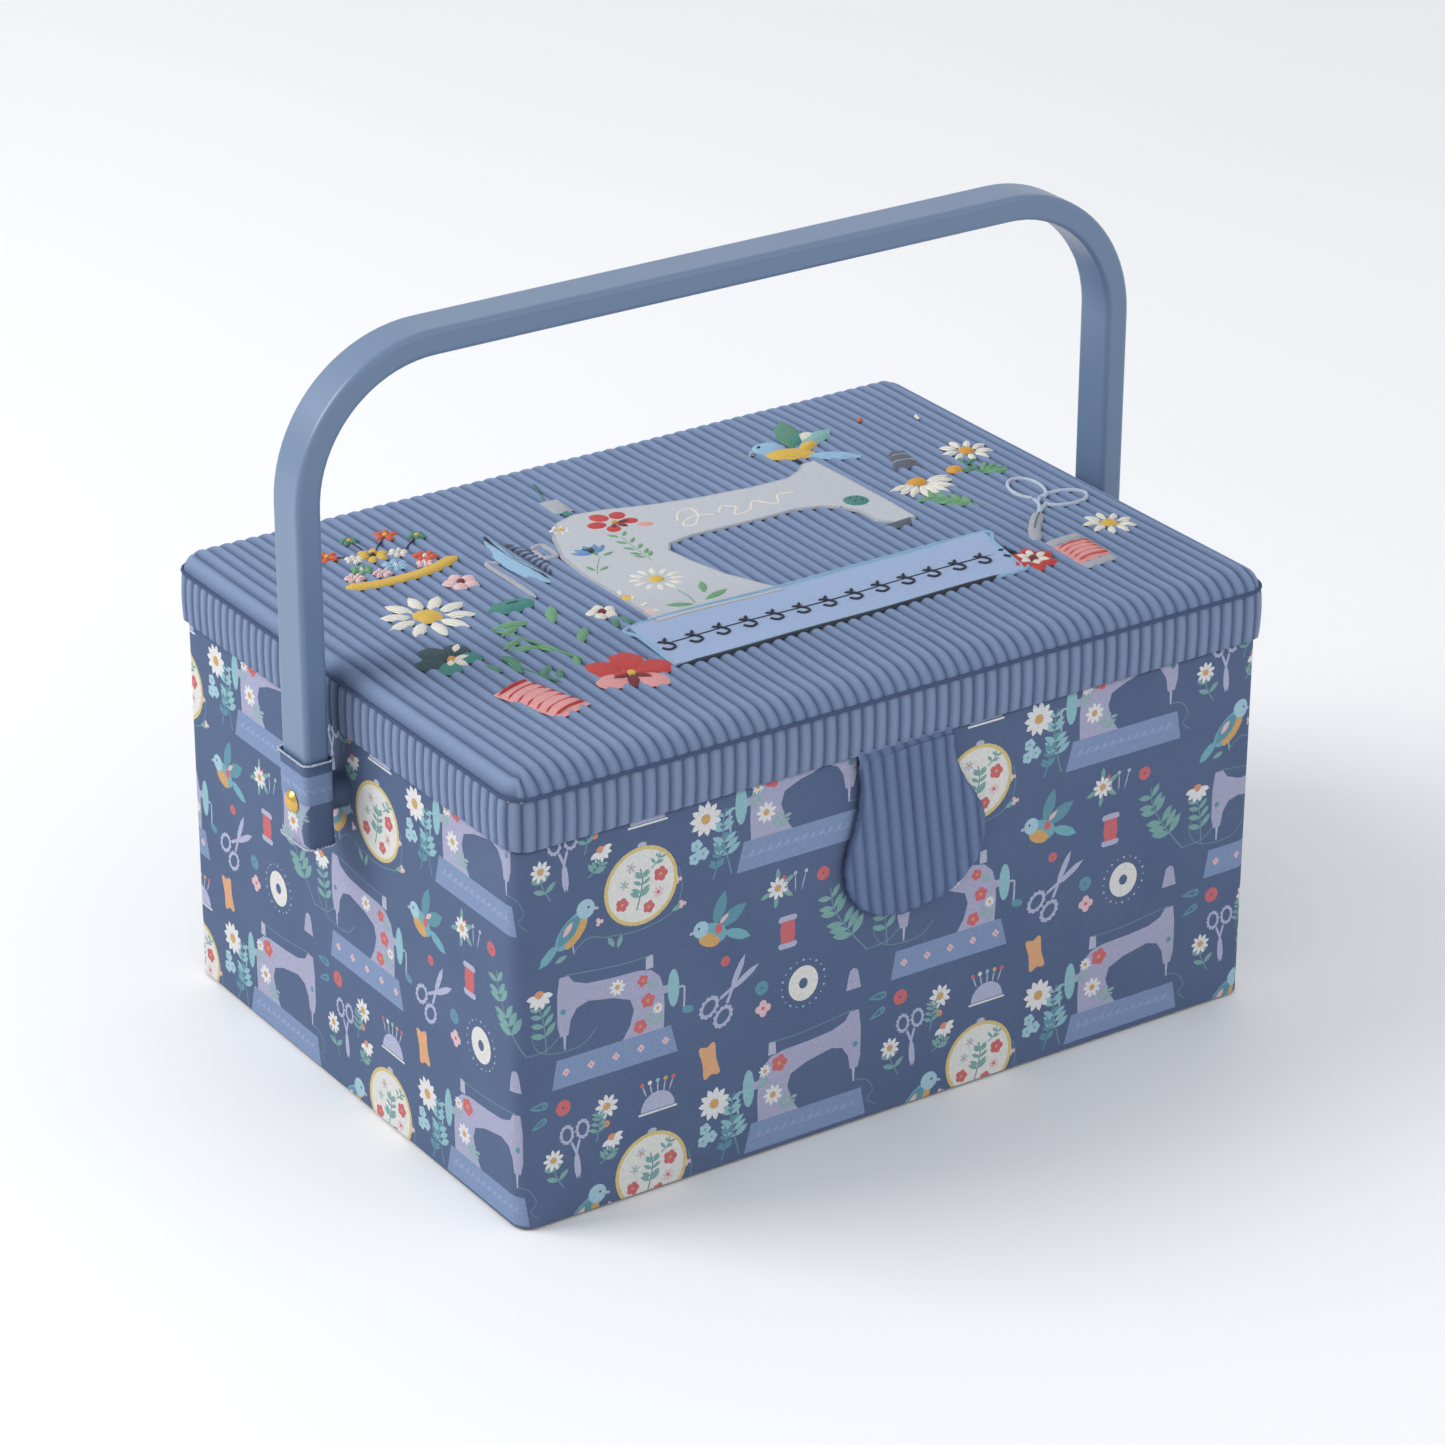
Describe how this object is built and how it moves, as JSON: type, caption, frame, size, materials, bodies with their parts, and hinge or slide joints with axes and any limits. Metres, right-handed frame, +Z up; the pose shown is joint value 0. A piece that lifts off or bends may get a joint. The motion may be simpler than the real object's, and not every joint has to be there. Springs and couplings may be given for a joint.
{
  "type": "sewing box with trays",
  "caption": "Cloth-covered sewing box with a padded corduroy lid, a flap closure, a bail handle that swings, and lift-out trays inside.",
  "frame": {"origin": "centre of the box's underside, on the surface it stands on", "axes": "+X along the box's length, +Y towards the lid's hinge at the back, +Z up; the flap is on the -Y face"},
  "size_m": [0.2966, 0.1956, 0.2372],
  "materials": {
    "cardboard": "grey-brown pressed board",
    "base_cloth": "dark felt",
    "print_cloth": "navy cotton with a sewing print",
    "corduroy": "blue corduroy",
    "lining": "pale plain cotton",
    "foam": "upholstery foam",
    "elastic": "flat woven elastic in its casing",
    "handle_plastic": "satin blue-grey plastic",
    "spacer_plastic": "dark nylon",
    "tray_plastic": "milky moulded plastic",
    "brass": "polished brass-coloured rivet",
    "steel": "plain steel",
    "magnet": "nickel-plated magnet"
  },
  "bodies": {
    "box": {"base_cover": "base_cloth", "base_board": "cardboard", "front_board": "cardboard", "back_board": "cardboard", "left_board": "cardboard", "right_board": "cardboard", "outer_cover": "print_cloth", "catch_plate": "steel", "floor_lining": "lining", "front_ledge_board": "lining", "back_ledge_board": "lining", "front_upper_lining": "lining", "back_upper_lining": "lining", "left_lining_board": "lining", "right_lining_board": "lining", "left_washer": "steel", "right_washer": "steel", "left_rivet": "brass", "right_rivet": "brass", "left_spacer": "spacer_plastic", "right_spacer": "spacer_plastic", "hinge_leaf_lower": "print_cloth"},
    "hinge_strip": {"hinge_strip": "print_cloth"},
    "lid": {"lid_frame": "cardboard", "lid_board": "cardboard", "lid_edge_band": "corduroy", "lid_foam": "foam", "lid_top_cover": "corduroy", "lid_lining": "lining", "lid_pocket": "lining", "pocket_elastic": "elastic", "pincushion": "lining", "hinge_leaf_upper": "print_cloth"},
    "flap": {"closing_flap": "corduroy", "flap_lining": "print_cloth", "flap_magnet": "magnet"},
    "handle": {"carry_handle": "handle_plastic", "left_cuff": "print_cloth", "right_cuff": "print_cloth"},
    "left_tray": {"tray_left": "tray_plastic"},
    "right_tray": {"tray_right": "tray_plastic"}
  },
  "joints": [
    {"name": "lid_hinge", "type": "hinge", "parent": "box", "child": "hinge_strip", "pos_m": [0, 0.09735, 0.1189], "axis": [-1, 0, 0], "range_deg": [0, 33]},
    {"name": "lid_upper_fold", "type": "hinge", "parent": "hinge_strip", "child": "lid", "pos_m": [0, 0.09735, 0.12015], "axis": [-1, 0, 0], "range_deg": [0, 33]},
    {"name": "flap_hinge", "type": "hinge", "parent": "lid", "child": "flap", "pos_m": [0, -0.0977, 0.1192], "axis": [-1, 0, 0], "range_deg": [0, 150]},
    {"name": "handle_swing", "type": "hinge", "parent": "box", "child": "handle", "pos_m": [0, 0, 0.1013], "axis": [-1, 0, 0], "range_deg": [-115, 115]},
    {"name": "left_tray_lift", "type": "slide", "parent": "box", "child": "left_tray", "axis": [0, 0, 1], "range_m": [0, 0.015]},
    {"name": "right_tray_lift", "type": "slide", "parent": "box", "child": "right_tray", "axis": [0, 0, 1], "range_m": [0, 0.015]}
  ]
}
